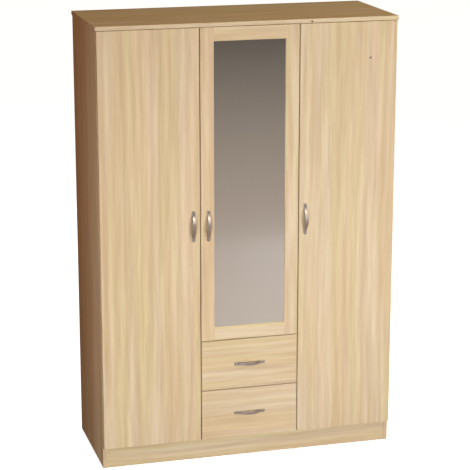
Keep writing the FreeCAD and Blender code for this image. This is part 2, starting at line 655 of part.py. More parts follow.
def bow_handle(x, z, upright):
    """A cast bow handle: two flat feet and a bow between them that widens towards its middle."""
    half = HANDLE_LENGTH / 2
    crown = HANDLE_CENTRES / 2 + HANDLE_BOW_REACH
    grip = HANDLE_GRIP / 2
    bar = across_bar(bow(crown, HANDLE_TIP, HANDLE_PROJECTION) + [
        nose(-1),
        nose(1),
        line((-half + HANDLE_NOSE, -HANDLE_TIP), (-crown, -HANDLE_TIP)),
        line((crown, -HANDLE_TIP), (half - HANDLE_NOSE, -HANDLE_TIP)),
        line((-half, -HANDLE_TIP + HANDLE_NOSE), (-half, 0)),
        line((half, -HANDLE_TIP + HANDLE_NOSE), (half, 0)),
        line((-half, 0), (half, 0)),
    ])
    bar = bar.common(leaf())
    bar = bar.makeFillet(HANDLE_EDGE_RADIUS, [e for e in bar.Edges if is_rim(e)])
    hollow = across_bar(bow(grip, HANDLE_FOOT_STEP, HANDLE_PROJECTION - HANDLE_BAR) + [
        line((-grip, 0), (-grip, -HANDLE_FOOT_STEP)),
        line((grip, 0), (grip, -HANDLE_FOOT_STEP)),
        line((-grip, 0), (grip, 0)),
    ])
    screw_holes = [rod(Vector(s * HANDLE_CENTRES / 2, 0, 0), -Y, HANDLE_SCREW_DEPTH, HANDLE_SCREW_RADIUS)
                   for s in (-1, 1)]
    bar = cut(bar, [hollow] + screw_holes)
    if upright:
        bar.rotate(Vector(0, 0, 0), Y, 90)
    bar.translate(Vector(x, front_y, z))
    return bar


def is_rim(edge):
    """True for the edges along a handle bar, apart from the two on its mounting face."""
    b = edge.BoundBox
    return b.ZLength < HANDLE_WIDTH / 2 and b.YMin < -0.01


# ---------------------------------------------------------------- cup hinges
def door_hinges(door, cup_board, side_board, edge_x, inward, face_x, heights):
    """The cups of one door, and the arms and plates that they hang on.

    edge_x is the door's hinged edge, inward is +1 or -1 from it into the door, and face_x is the
    inner face that the plates are screwed to.
    """
    face_u = (face_x - edge_x) * inward
    for z in heights:
        def local(solid, z=z):
            """From (inset from the door's edge, depth behind its back face, height) to the wardrobe."""
            if inward < 0:
                solid = solid.mirror(Vector(0, 0, 0), X)
            solid.translate(Vector(edge_x, door_back_y, z))
            return solid

        add(door + "_door_hinge_cups", local(hinge_cup()))
        drill(cup_board, local(rod(Vector(CUP_TAB + CUP_RADIUS, 0, 0), -Y, CUP_DEPTH, CUP_RADIUS)))
        plate_screws = [
            screw(side_board, Vector(face_x + inward * PLATE_THICKNESS, carcass_front_y + PLATE_SCREW_IN,
                                     z + s * PLATE_SCREW_SPACING / 2), X * -inward)
            for s in (-1, 1)
        ]
        plate = cut(local(hinge_plate(face_u)), plate_screws)
        add("hinge_plates", plate)
        add("hinge_arms", local(hinge_arm(face_u)))


def hinge_cup():
    """A pressed cup with its screw flange and the pin that the arm's eye turns on."""
    centre = Vector(CUP_TAB + CUP_RADIUS, 0, 0)
    shell = rod(centre, -Y, CUP_DEPTH, CUP_RADIUS)
    hollow = rod(centre + Y * CUP_FLANGE, -Y, CUP_DEPTH - CUP_FLOOR + CUP_FLANGE, CUP_RADIUS - CUP_WALL)
    rim = rod(centre, Y, CUP_FLANGE, CUP_RADIUS + CUP_RIM)
    wing_x = centre.x + CUP_FLANGE_OFFSET
    wings = box(wing_x, wing_x + CUP_FLANGE_WIDTH, 0, CUP_FLANGE,
                -CUP_FLANGE_HALF_HEIGHT, CUP_FLANGE_HALF_HEIGHT)
    corners = [e for e in wings.Edges if e.BoundBox.YLength > CUP_FLANGE / 2]
    wings = wings.makeFillet(CUP_FLANGE_CORNER, corners)
    screw_x = wing_x + CUP_FLANGE_WIDTH / 2
    holes = [rod(Vector(screw_x, 0, s * CUP_SCREW_SPACING / 2), Y, CUP_FLANGE, CUP_SCREW_HOLE_RADIUS)
             for s in (-1, 1)]
    body = cut(fused([shell, rim, wings]), [hollow] + holes)
    pin = rod(Vector(PIVOT_IN, -PIVOT_DEPTH, -CUP_RADIUS), Z, 2 * CUP_RADIUS, PIN_RADIUS).common(shell)
    return fused([body, pin])


def hinge_arm(face_u):
    """A channel over the plate, and a bent neck that reaches into the cup and ends in an eye."""
    arm_u = face_u + PLATE_THICKNESS
    neck_u = PIVOT_IN + NECK_REACH
    t, h = NECK_THICKNESS, NECK_HALF_HEIGHT
    bar = box(PIVOT_IN, neck_u - NECK_BEND, -PIVOT_DEPTH - t / 2, -PIVOT_DEPTH + t / 2, -h, h)
    eye = rod(Vector(PIVOT_IN, -PIVOT_DEPTH, -h), Z, 2 * h, EYE_RADIUS)
    bend_centre = Vector(neck_u - NECK_BEND, -PIVOT_DEPTH + NECK_BEND, -h)
    bend = Part.makeCylinder(NECK_BEND + t / 2, 2 * h, bend_centre, Z).cut(
        Part.makeCylinder(NECK_BEND - t / 2, 2 * h, bend_centre, Z))
    bx, by = bend_centre.x, bend_centre.y
    bend = bend.common(box(bx, bx + 2 * NECK_BEND, by - 2 * NECK_BEND, by, -h, h))
    upright = box(neck_u - t / 2, neck_u + t / 2, bend_centre.y, ARM_START + t, -h, h)
    low_u, high_u = min(arm_u, neck_u - t / 2), max(arm_u + ARM_WIDTH, neck_u + t / 2)
    bridge = box(low_u, high_u, ARM_START, ARM_START + t, -ARM_HALF_HEIGHT, ARM_HALF_HEIGHT)
    end, half = ARM_START + ARM_LENGTH, ARM_HALF_HEIGHT
    body = box(arm_u, arm_u + ARM_WIDTH, ARM_START, end, -half, half)
    hollow = box(arm_u, arm_u + ARM_WIDTH - ARM_SHEET, ARM_START + 2 * t, end,
                 ARM_SHEET - half, half - ARM_SHEET)
    slot = rod(Vector(arm_u, end - ARM_SCREW_IN, 0), X, ARM_WIDTH, ARM_SCREW_HOLE_RADIUS)
    pin_hole = rod(Vector(PIVOT_IN, -PIVOT_DEPTH, -h), Z, 2 * h, PIN_RADIUS + PIN_CLEARANCE)
    return cut(fused([bar, eye, bend, upright, bridge, body]), [hollow, slot, pin_hole])


def hinge_plate(face_u):
    """A cross-shaped plate on the carcass, which the arm stands on."""
    front = DOOR_STANDOFF + PLATE_SCREW_IN
    start = ARM_START + PLATE_START
    top_u = face_u + PLATE_THICKNESS
    wing = PLATE_WING_WIDTH / 2
    base = box(face_u, top_u, start, start + PLATE_LENGTH, -ARM_HALF_HEIGHT, ARM_HALF_HEIGHT)
    wings = box(face_u, top_u, front - wing, front + wing, -PLATE_HALF_HEIGHT, PLATE_HALF_HEIGHT)
    corners = [e for e in wings.Edges if e.BoundBox.XLength > PLATE_THICKNESS / 2]
    return fused([base, wings.makeFillet(PLATE_CORNER_RADIUS, corners)])


def all_hinges():
    door_hinges("left", "left_door_panel", "left_side_panel",
                door_zone_left, 1, left_inner, tall_hinges_z)
    door_hinges("right", "right_door_panel", "right_side_panel",
                door_zone_right, -1, right_inner, tall_hinges_z)
    door_hinges("mirror", "mirror_door_right_stile", "tall_partition",
                middle_right, -1, partition_left, mirror_hinges_z)


def door_buffers():
    """Soft buffers on the carcass front edges, behind the free edges of the doors and the drawer fronts."""
    half_plate = BUFFER_RADIUS + BUFFER_MARGIN
    bottom_z = bottom_top_z - half_plate
    shelf_z = drawer_top_top_z - half_plate
    wall_x = (drawer_wall_left + drawer_wall_right) / 2
    right_x = partition_right - half_plate
    middle_x = partition_left + half_plate
    upper_z = upper_front_bottom_z + DRAWER_FRONT_HEIGHT - BUFFER_END_Z
    lower_z = front_bottom_z + DRAWER_FRONT_HEIGHT - BUFFER_END_Z
    spots = [(left_door_right - BUFFER_SIDE_X, bottom_z), (middle_left + BUFFER_SIDE_X, shelf_z)]
    right_zs = (front_bottom_z + BUFFER_END_Z, HANDLE_HEIGHT, door_top_z - BUFFER_END_Z)
    spots += [(right_x, z) for z in right_zs]
    spots += [(x, z) for x in (wall_x, middle_x) for z in (lower_z, upper_z)]
    for x, z in spots:
        add("door_buffers", rod(Vector(x, carcass_front_y, z), -Y, BUFFER_THICKNESS, BUFFER_RADIUS))


# ---------------------------------------------------------------- drawers
def drawer(name, front_z):
    """One drawer: front, two sides, back and base, its handle, and its part of the runners."""
    foot = front_z + DRAWER_LIFT
    side_top = foot + DRAWER_SIDE_HEIGHT
    base_z = foot + BASE_GROOVE_HEIGHT
    inner_left, inner_right = drawer_box_left + DRAWER_BOARD, drawer_box_right - DRAWER_BOARD
    g = BASE_GROOVE_DEPTH
    base = box(inner_left - g, inner_right + g, door_back_y - g, drawer_back_y - DRAWER_BOARD + g,
               base_z, base_z + DRAWER_BASE)
    groove = box(inner_left - g - BASE_CLEARANCE, inner_right + g + BASE_CLEARANCE,
                 door_back_y - g - BASE_CLEARANCE, drawer_back_y - DRAWER_BOARD + g + BASE_CLEARANCE,
                 base_z, base_z + DRAWER_BASE + BASE_CLEARANCE)
    parts = {
        "left_side": box(drawer_box_left, inner_left, door_back_y, drawer_back_y, foot, side_top),
        "right_side": box(inner_right, drawer_box_right, door_back_y, drawer_back_y, foot, side_top),
        "back": box(inner_left, inner_right, drawer_back_y - DRAWER_BOARD, drawer_back_y, foot, side_top),
    }
    for part, solid in parts.items():
        drill("%s_drawer_%s" % (name, part), groove)
        export("%s_drawer_%s" % (name, part), softened(solid))
    export(name + "_drawer_bottom", base)
    front = box(middle_left, middle_right, front_y, door_back_y, front_z, front_z + DRAWER_FRONT_HEIGHT)
    handle_x = (middle_left + middle_right) / 2
    handle_z = front_z + DRAWER_FRONT_HEIGHT / 2
    handle_holes(name + "_drawer_front", handle_x, handle_z, X)
    drill(name + "_drawer_front", groove)
    export(name + "_drawer_front", rounded_front(front))
    export(name + "_drawer_handle", bow_handle(handle_x, handle_z, False))
    drawer_runners(name, foot)


def drawer_runners(name, foot):
    """Left and right roller runners of one drawer whose sides stand at height foot."""
    walls = (("drawer_partition", drawer_wall_right, 1), ("tall_partition", partition_left, -1))
    for board, wall_x, out in walls:
        def at(u0, u1, y0, y1, z0, z1, wall_x=wall_x, out=out):
            """A box whose first pair is the distance out of the wall."""
            a, b = sorted((wall_x + out * u0, wall_x + out * u1))
            return box(a, b, y0, y1, z0, z1)

        def disc(u0, u1, y, z, radius, wall_x=wall_x, out=out):
            return rod(Vector(wall_x + out * u0, y, z), X * out, u1 - u0, radius)

        t = RUNNER_SHEET
        z0 = foot - CHANNEL_DROP
        z1 = z0 + channel_height
        y0 = carcass_front_y + RUNNER_FRONT_GAP
        y1 = drawer_back_y
        flange_z = z1 + FLANGE_ABOVE_CHANNEL
        roller_u0 = t + ROLLER_SIDE_GAP
        roller_u1 = roller_u0 + roller_width
        front_axle = (y0 + FRONT_ROLLER_IN, flange_z - TRACK_CLEARANCE - ROLLER_RADIUS)
        rear_axle = (y1 - REAR_ROLLER_IN, z0 + t + TRACK_CLEARANCE + ROLLER_RADIUS)
        nose = y0 + 2 * FRONT_ROLLER_IN
        channel = fused([
            at(0, t, y0, y1, z0, z1),
            at(0, channel_width, nose, y1, z0, z0 + t),
            at(0, channel_width, nose, y1, z1 - t, z1),
            disc(t, roller_u1 + AXLE_END, *front_axle, ROLLER_AXLE_RADIUS),
        ])
        screw_ys = (nose + RUNNER_SCREW_IN, (y0 + y1) / 2, y1 - RUNNER_SCREW_IN)
        screws = [screw(board, Vector(wall_x + out * t, y, (z0 + z1) / 2), X * -out, RUNNER_SCREW_HEAD)
                  for y in screw_ys]
        add("fixed_runners", cut(channel, screws))
        side_u = RUNNER_SPACE
        member = fused([
            at(side_u - t, side_u, y0, y1, foot - t, flange_z + t),
            at(side_u, side_u + DRAWER_BOARD, y0, y1, foot - t, foot),
            at(roller_u0, side_u, y0, y1 - 2 * REAR_ROLLER_IN, flange_z, flange_z + t),
            disc(roller_u0 - AXLE_END, side_u - t, *rear_axle, ROLLER_AXLE_RADIUS),
        ])
        add(name + "_drawer_runners", member)
        for which, (y, z) in (("front", front_axle), ("rear", rear_axle)):
            wheel = disc(roller_u0, roller_u1, y, z, ROLLER_RADIUS)
            bore = disc(roller_u0, roller_u1, y, z, ROLLER_AXLE_RADIUS + AXLE_CLEARANCE)
            add("%s_%s_rollers" % (name, which), wheel.cut(bore))
    for node in ("_drawer_runners", "_front_rollers", "_rear_rollers"):
        export_group(name + node)


# ---------------------------------------------------------------- build
def main():
    os.makedirs("parts", exist_ok=True)
    board_joints()
    all_hinges()
    shelf_pins()
    floor_glides()
    wall_brackets()
    hanging_rail()
    door_buffers()
    slab_doors()
    mirror_door()
    drawer("lower", front_bottom_z)
    drawer("upper", upper_front_bottom_z)
    right_shelves()
    back_panels()
    carcass_boards()
    for node in ("cam_locks", "cam_bolts", "wood_dowels", "floor_glides", "wall_brackets",
                 "rail_sockets", "shelf_pins", "fixed_runners", "hinge_arms", "hinge_plates",
                 "carcass_screws", "door_buffers", "left_door_hinge_cups",
                 "mirror_door_hinge_cups", "right_door_hinge_cups"):
        export_group(node)


main()
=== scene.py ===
"""Looks for the three-door wardrobe: oak-grain foil, mirror, satin handles and the small fixings.

Metres, in the same frame as the CAD: +Z up, the doors face -Y, the origin is on the floor.
"""
import json
import math

import bmesh
import bpy
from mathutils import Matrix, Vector


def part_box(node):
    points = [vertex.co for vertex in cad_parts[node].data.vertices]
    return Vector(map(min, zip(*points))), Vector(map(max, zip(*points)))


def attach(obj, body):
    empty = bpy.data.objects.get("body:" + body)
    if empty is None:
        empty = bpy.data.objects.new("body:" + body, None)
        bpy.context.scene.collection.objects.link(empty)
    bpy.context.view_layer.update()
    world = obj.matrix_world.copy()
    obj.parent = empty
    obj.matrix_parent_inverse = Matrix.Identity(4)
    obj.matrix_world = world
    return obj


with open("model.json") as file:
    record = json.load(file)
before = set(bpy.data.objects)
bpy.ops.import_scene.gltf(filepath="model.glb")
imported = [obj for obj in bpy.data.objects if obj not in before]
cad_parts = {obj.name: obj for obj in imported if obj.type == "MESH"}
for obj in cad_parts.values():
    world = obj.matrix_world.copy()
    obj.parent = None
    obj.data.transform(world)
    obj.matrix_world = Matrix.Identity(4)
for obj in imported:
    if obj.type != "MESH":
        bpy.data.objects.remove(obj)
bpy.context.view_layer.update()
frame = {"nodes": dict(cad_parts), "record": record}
nodes = frame["nodes"]
MM = 0.001

# ---------------------------------------------------------------- camera
CAMERA_PLACE = (-1.877, -6.7905, 2.737)
CAMERA_AZIMUTH = math.radians(15.48)     # turned from +Y towards +X
CAMERA_DIP = math.radians(14.74)         # looks down by this much
LENS_MM = 135.05
SENSOR_MM = 36.0


def make_camera():
    bpy.ops.object.camera_add(location=CAMERA_PLACE)
    camera = bpy.context.object
    camera.name = "camera"
    camera.rotation_euler = (math.pi / 2 - CAMERA_DIP, 0, -CAMERA_AZIMUTH)
    camera.data.lens = LENS_MM
    camera.data.sensor_width = SENSOR_MM
    bpy.context.scene.camera = camera


# ---------------------------------------------------------------- nodes and colours
def linear(hex_colour):
    """An sRGB hex value, such as "D9B98A", as linear RGBA."""
    channels = [int(hex_colour[i:i + 2], 16) / 255 for i in (0, 2, 4)]
    return [c / 12.92 if c <= 0.04045 else ((c + 0.055) / 1.055) ** 2.4 for c in channels] + [1.0]


def add(tree, kind, inputs=(), **settings):
    """Adds a node, sets it up, and links or sets each of its inputs."""
    node = tree.nodes.new(kind)
    for key, value in settings.items():
        setattr(node, key, value)
    for key, value in dict(inputs).items():
        if isinstance(value, bpy.types.NodeSocket):
            tree.links.new(value, node.inputs[key])
        else:
            node.inputs[key].default_value = value
    return node


def new_material(name):
    material = bpy.data.materials.new(name)
    material.use_nodes = True
    material.node_tree.nodes.clear()
    return material, material.node_tree


def finish_material(tree, inputs):
    surface = add(tree, "ShaderNodeBsdfPrincipled", inputs)
    add(tree, "ShaderNodeOutputMaterial", {"Surface": surface.outputs["BSDF"]})


def mix(tree, factor, a, b, blend="MIX"):
    """Colour a blended with colour b."""
    blended = add(tree, "ShaderNodeMix", {0: factor, 6: a, 7: b}, data_type="RGBA", blend_type=blend)
    return blended.outputs[2]


def streaks(tree, place, across, along, detail, low, high):
    """Grain streaks about this wide and this long, as a value from 0 to 1 with its contrast raised."""
    scaled = add(tree, "ShaderNodeMapping", {"Vector": place, "Scale": (1 / across, 1 / across, 1 / along)})
    noise = add(tree, "ShaderNodeTexNoise",
                {"Vector": scaled.outputs["Vector"], "Scale": 1.0, "Detail": detail, "Roughness": 0.55})
    spread = add(tree, "ShaderNodeMapRange",
                 {"Value": noise.outputs["Fac"], "From Min": low, "From Max": high})
    return spread.outputs["Result"]


# ---------------------------------------------------------------- wood foil
# Melamine-resin decor foil on chipboard, printed with a light straight-grained oak. The print gives narrow
# upright strips in cream, straw and rose, fine streaks and a few long flames, under a satin lacquer.
GRAIN_TURN = {"x": (0, -math.pi / 2, 0), "y": (math.pi / 2, 0, 0), "z": (0, 0, 0)}
# Each layer: width, length, detail, then the noise values taken as none of it and all of it.
STRIPS = (58 * MM, 1.7, 2.0, 0.43, 0.57)
BLUSH = (58 * MM, 1.7, 2.0, 0.44, 0.60)
BANDS = (20 * MM, 0.5, 2.0, 0.35, 0.68)
LINES = (8 * MM, 0.22, 3.0, 0.40, 0.72)
PORES = (3.5 * MM, 0.07, 2.0, 0.42, 0.75)     # real pores are 0.3 mm wide: coarser here so that they show
STRIP_SHARE = 0.75                # how far each layer takes the colour to its own tone
BLUSH_SHARE = 0.65
BAND_SHARE = 0.46
LINE_SHARE = 0.19
RING_SHARE = 0.14
PORE_SHARE = 0.17
RING_PERIOD = 38 * MM
WAVE_UNIT = 20 / (2 * math.pi)    # waves in a metre of the wave texture at scale 1
RING_TILT = math.radians(1.9)     # the rings' axis leans by this much, which draws long flames
WANDER_WIDTH = 0.25               # the grain drifts sideways over patches of this size
WANDER_LENGTH = 0.75
WANDER = 30 * MM
SECOND_SHIFT = (3.1, 5.7, 2.3)    # takes the second set of streaks to another part of the noise


def share(tree, value, amount):
    """A value from 0 to 1, cut down to this share."""
    return add(tree, "ShaderNodeMath", {0: value, 1: amount}, operation="MULTIPLY").outputs[0]


def foil_pattern(tree, grain, shift, tones):
    """The printed oak's colour and a value for its pores."""
    place = add(tree, "ShaderNodeTexCoord").outputs["Object"]
    turned = add(tree, "ShaderNodeMapping",
                 {"Vector": place, "Location": shift, "Rotation": GRAIN_TURN[grain]}).outputs["Vector"]
    slow = add(tree, "ShaderNodeMapping",
               {"Vector": turned, "Scale": (1 / WANDER_WIDTH, 1 / WANDER_WIDTH, 1 / WANDER_LENGTH)})
    drift = add(tree, "ShaderNodeTexNoise", {"Vector": slow.outputs["Vector"], "Scale": 1.0, "Detail": 1.0})
    wandered = add(tree, "ShaderNodeVectorMath",
                   {0: drift.outputs["Color"], 1: (WANDER, WANDER, 0), 2: turned},
                   operation="MULTIPLY_ADD").outputs["Vector"]
    moved = add(tree, "ShaderNodeMapping", {"Vector": wandered, "Location": SECOND_SHIFT}).outputs["Vector"]
    strips = streaks(tree, wandered, *STRIPS)
    blush = streaks(tree, moved, *BLUSH)
    bands = streaks(tree, moved, *BANDS)
    lines = streaks(tree, wandered, *LINES)
    pores = streaks(tree, wandered, *PORES)
    tilted = add(tree, "ShaderNodeMapping", {"Vector": wandered, "Rotation": (RING_TILT, 0, 0)})
    rings = add(tree, "ShaderNodeTexWave",
                {"Vector": tilted.outputs["Vector"], "Scale": 1 / (WAVE_UNIT * RING_PERIOD),
                 "Distortion": 2.2, "Detail": 2.0, "Detail Scale": 0.6},
                wave_type="RINGS", rings_direction="Z", wave_profile="SIN")
    cream, straw, rose, tan = [linear(t) for t in tones]
    colour = mix(tree, share(tree, strips, STRIP_SHARE), cream, straw)
    colour = mix(tree, share(tree, blush, BLUSH_SHARE), colour, rose)
    colour = mix(tree, share(tree, bands, BAND_SHARE), colour, tan)
    colour = mix(tree, share(tree, lines, LINE_SHARE), colour, tan)
    colour = mix(tree, share(tree, rings.outputs["Fac"], RING_SHARE), colour, tan)
    return mix(tree, share(tree, pores, PORE_SHARE), colour, tan), pores, place


KNOT_BROWN = "4A2C14"


def knot(tree, colour, place, centre, radius):
    """A pin knot in the print: a small dark spot with a soft rim."""
    reach = add(tree, "ShaderNodeVectorMath", {0: place, 1: centre}, operation="DISTANCE")
    spot = add(tree, "ShaderNodeMapRange",
               {"Value": reach.outputs["Value"], "From Min": radius * 0.4, "From Max": radius,
                "To Min": 0.85, "To Max": 0.0})
    return mix(tree, spot.outputs["Result"], colour, linear(KNOT_BROWN))


# Cream, straw and rose for the strips, and tan for the streaks, rings and pores.
OAK_TONES = ("E4D2B2", "DCCA96", "E0C5A1", "BC9A6E")


def oak_foil(name, grain, shift, knot_at, tones):
    """Foil whose grain runs along this axis, with its satin lacquer duller in the pores."""
    material, tree = new_material(name)
    colour, pores, place = foil_pattern(tree, grain, shift, tones)
    if knot_at:
        colour = knot(tree, colour, place, *knot_at)
    dull = add(tree, "ShaderNodeMapRange", {"Value": pores, "To Min": 0.46, "To Max": 0.58})
    relief = add(tree, "ShaderNodeBump",
                 {"Height": pores, "Strength": 0.12, "Distance": 0.1 * MM}, invert=True)
    finish_material(tree, {"Base Color": colour, "Roughness": dull.outputs["Result"],
                           "Normal": relief.outputs["Normal"], "IOR": 1.5})
    return material


# ---------------------------------------------------------------- other materials
def grained(name, colours, size, inputs, stretch, bump, rough):
    """A surface with two close tones in grains of this size, and the same grains in its relief."""
    material, tree = new_material(name)
    place = add(tree, "ShaderNodeTexCoord").outputs["Object"]
    scaled = add(tree, "ShaderNodeMapping", {"Vector": place, "Scale": [s / size for s in stretch]})
    noise = add(tree, "ShaderNodeTexNoise",
                {"Vector": scaled.outputs["Vector"], "Scale": 1.0, "Detail": 3.0})
    spread = add(tree, "ShaderNodeMapRange",
                 {"Value": noise.outputs["Fac"], "From Min": 0.3, "From Max": 0.7})
    value = spread.outputs["Result"]
    dull = add(tree, "ShaderNodeMapRange", {"Value": value, "To Min": rough[0], "To Max": rough[1]})
    relief = add(tree, "ShaderNodeBump", {"Height": value, "Strength": 0.3, "Distance": bump})
    settings = {"Base Color": mix(tree, value, linear(colours[0]), linear(colours[1])),
                "Roughness": dull.outputs["Result"], "Normal": relief.outputs["Normal"]}
    settings.update(inputs)
    finish_material(tree, settings)
    return material


def other_materials():
    metal = {"Metallic": 1.0}
    return {
        # Zinc casting, nickel plated and satin finished: soft highlights with a faint mottle.
        "satin_nickel": grained("satin_nickel", ("A69C95", "B8AEA7"), 1.2 * MM, metal, (1, 1, 1), 0.02 * MM,
                                (0.28, 0.36)),
        # Pressed steel with bright nickel plating: sharper highlights, faint mottling.
        "plated_steel": grained("nickel_plated_steel", ("BFC0C2", "CDCECF"), 3 * MM, metal, (1, 1, 1),
                                0.02 * MM, (0.18, 0.28)),
        # Bare zinc die casting: dull grey with a cloudy skin.
        "zinc_casting": grained("zinc_casting", ("8E9093", "A2A4A6"), 1.5 * MM, metal, (1, 1, 1), 0.03 * MM,
                                (0.38, 0.5)),
        # Drawn steel tube, chromed: mirror-bright, with the faintest draw lines.
        "chromed_tube": grained("chromed_tube", ("D6D8DA", "DEDFE0"), 2 * MM, metal, (0.02, 1, 1),
                                0.005 * MM, (0.05, 0.09)),
        # Moulded nylon: milky, evenly soft.
        "white_plastic": grained("moulded_nylon", ("E2E1DC", "EAE9E4"), 2 * MM, {"IOR": 1.53}, (1, 1, 1),
                                 0.02 * MM, (0.38, 0.46)),
        # Powder coat on steel: fine orange peel, semi-gloss.
        "white_powder_coat": grained("white_powder_coat", ("E6E5E0", "ECEBE7"), 1.4 * MM, {"IOR": 1.5},
                                     (1, 1, 1), 0.06 * MM, (0.3, 0.38)),
        # Wet-pressed hardboard, smooth side out: brown, mottled with fibres.
        "hardboard": grained("hardboard", ("7A5638", "93704C"), 3 * MM, {"IOR": 1.5}, (1, 1, 1), 0.05 * MM,
                             (0.6, 0.75)),
        # Turned beech: pale pink-brown with short flecks.
        "beech_dowel": grained("beech", ("BE9567", "D0AC80"), 1.5 * MM, {"IOR": 1.5}, (1, 1, 1), 0.05 * MM,
                               (0.55, 0.7)),
        # Soft clear polyurethane: slightly cloudy and tacky-looking.
        "buffer_rubber": grained("polyurethane_buffer", ("CFCBC0", "DAD7CE"), 1 * MM, {"IOR": 1.5},
                                 (1, 1, 1), 0.02 * MM, (0.35, 0.45)),
    }


def silvered_glass():
    """Float glass, silvered behind: a sharp reflection that loses a little, with a trace of green."""
    material, tree = new_material("silvered_glass")
    place = add(tree, "ShaderNodeTexCoord").outputs["Object"]
    cloud = add(tree, "ShaderNodeTexNoise", {"Vector": place, "Scale": 3.0, "Detail": 1.0})
    dull = add(tree, "ShaderNodeMapRange",
               {"Value": cloud.outputs["Fac"], "To Min": 0.004, "To Max": 0.012})
    finish_material(tree, {"Base Color": linear("EEF2F0"), "Metallic": 1.0,
                           "Roughness": dull.outputs["Result"]})
    return material


# ---------------------------------------------------------------- finishes of the CAD nodes
def dress(node, material):
    slots = nodes[node].material_slots
    if not slots:
        nodes[node].data.materials.append(material)
    for slot in slots:
        slot.material = material


BOARD_GRAIN = {
    "top_panel": "x", "plinth": "x", "rear_plinth": "x", "bottom_panel": "x", "drawer_top_shelf": "x",
    "hat_shelf": "x", "right_shelf_lower": "x", "right_shelf_middle": "x", "right_shelf_upper": "x",
    "mirror_door_top_rail": "x", "mirror_door_bottom_rail": "x",
    "upper_drawer_front": "x", "lower_drawer_front": "x",
    "upper_drawer_back": "x", "lower_drawer_back": "x",
    "upper_drawer_left_side": "y", "upper_drawer_right_side": "y",
    "lower_drawer_left_side": "y", "lower_drawer_right_side": "y",
    "left_side_panel": "z", "right_side_panel": "z", "tall_partition": "z", "drawer_partition": "z",
    "left_door_panel": "z", "right_door_panel": "z",
    "mirror_door_left_stile": "z", "mirror_door_right_stile": "z",
}
DRAWER_TONES = ("E6D6B4", "D8C49C", "E0CDA8", "C9AF82")     # paler foil on the drawer boxes


def dress_boards():
    front_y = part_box("left_door_panel")[0].y
    knots = {
        "right_door_panel": ((0.497, front_y, 1.637), 6 * MM),
        "top_panel": ((0.252, front_y, 1.79), 6 * MM),
    }
    for i, (node, grain) in enumerate(BOARD_GRAIN.items()):
        shift = (0.37 * i, 0.083 * i, 1.31 * i)
        tones = DRAWER_TONES if "_drawer_" in node and "front" not in node else OAK_TONES
        dress(node, oak_foil("oak_foil_" + node, grain, shift, knots.get(node), tones))


def dress_rest():
    finishes = other_materials()
    finishes["mirror"] = silvered_glass()
    for entry in frame["record"]["subparts"]:
        node = entry["node"]
        if node not in BOARD_GRAIN:
            dress(node, finishes[entry["material_slot"]])
    return finishes


# ---------------------------------------------------------------- small fixings
# The first of these repeat sizes of the CAD that its boxes don't give. The rest shape the heads.
HANDLE_CENTRES = 96 * MM
CUP_SCREW_IN = 30 * MM            # from the door's hinged edge
CUP_SCREW_SPACING = 48 * MM
ARM_TOP = 11 * MM                 # hinge arm and plate, off the board
ARM_SCREW_BACK = 53 * MM          # behind the door's back face
TALL_HINGES = (190.5 * MM, 687.67 * MM, 1184.83 * MM, 1682 * MM)
MIRROR_HINGES = (602.5 * MM, 1147.25 * MM, 1692 * MM)
RUNNER_SCREW_PARTS = (0.1, 0.5, 0.9)      # places along the runner
SCREW_RADIUS = 4.0 * MM
SCREW_RISE = 2.4 * MM
SCREW_ROUNDING = 1.1 * MM
RECESS = 4.2 * MM                 # length of each arm of the cross
RECESS_ARM = 0.24                 # its width, as a part of its length
RECESS_TAPER = 0.55               # its floor, as a part of its mouth
RECESS_DEPTH = 1.4 * MM
NAIL_RADIUS = 2.2 * MM
NAIL_RISE = 0.7 * MM
NAIL_ROUNDING = 0.3 * MM
NAIL_IN = 7 * MM                  # from the hardboard's edge
NAIL_SPACING = 120 * MM
ROUNDED_BY_ANGLE = math.radians(40)


def only(piece):
    """Selects this object and nothing else."""
    bpy.ops.object.select_all(action="DESELECT")
    piece.select_set(True)
    bpy.context.view_layer.objects.active = piece


def round_head(name, radius, rise, sides, rounding, segments):
    """A low head standing on z = 0, with a rounded upper rim."""
    bpy.ops.object.select_all(action="DESELECT")
    bpy.ops.mesh.primitive_cylinder_add(vertices=sides, radius=radius, depth=rise,
                                        location=(0, 0, rise / 2))
    head = bpy.context.object
    head.name = name
    bpy.ops.object.transform_apply(location=True, rotation=True, scale=True)
    bpy.ops.object.mode_set(mode="EDIT")
    bpy.ops.mesh.select_all(action="DESELECT")
    shell = bmesh.from_edit_mesh(head.data)
    for edge in shell.edges:
        edge.select_set(all(v.co.z > rise * 0.99 for v in edge.verts))
    bmesh.update_edit_mesh(head.data)
    bpy.ops.mesh.bevel(offset=rounding, segments=segments)
    bpy.ops.object.mode_set(mode="OBJECT")
    bpy.ops.object.shade_smooth_by_angle(angle=ROUNDED_BY_ANGLE)
    return head


def cross_recess(head):
    """Cuts a tapered cross into the head's crown."""
    for turn in (0, math.pi / 2):
        bpy.ops.object.select_all(action="DESELECT")
        bpy.ops.mesh.primitive_cube_add(size=1, location=(0, 0, SCREW_RISE), rotation=(0, 0, turn))
        slot = bpy.context.object
        slot.dimensions = (RECESS, RECESS * RECESS_ARM, RECESS_DEPTH * 2)
        bpy.ops.object.transform_apply(location=True, rotation=True, scale=True)
        bpy.ops.object.mode_set(mode="EDIT")
        bpy.ops.mesh.select_all(action="DESELECT")
        shell = bmesh.from_edit_mesh(slot.data)
        for face in shell.faces:
            face.select_set(face.normal.z < -0.9)
        bmesh.update_edit_mesh(slot.data)
        bpy.ops.transform.resize(value=(RECESS_TAPER, RECESS_TAPER, 1))
        bpy.ops.object.mode_set(mode="OBJECT")
        only(head)
        cut = head.modifiers.new("recess", "BOOLEAN")
        cut.object = slot
        cut.operation = "DIFFERENCE"
        bpy.ops.object.modifier_apply(modifier=cut.name)
        bpy.data.objects.remove(slot)


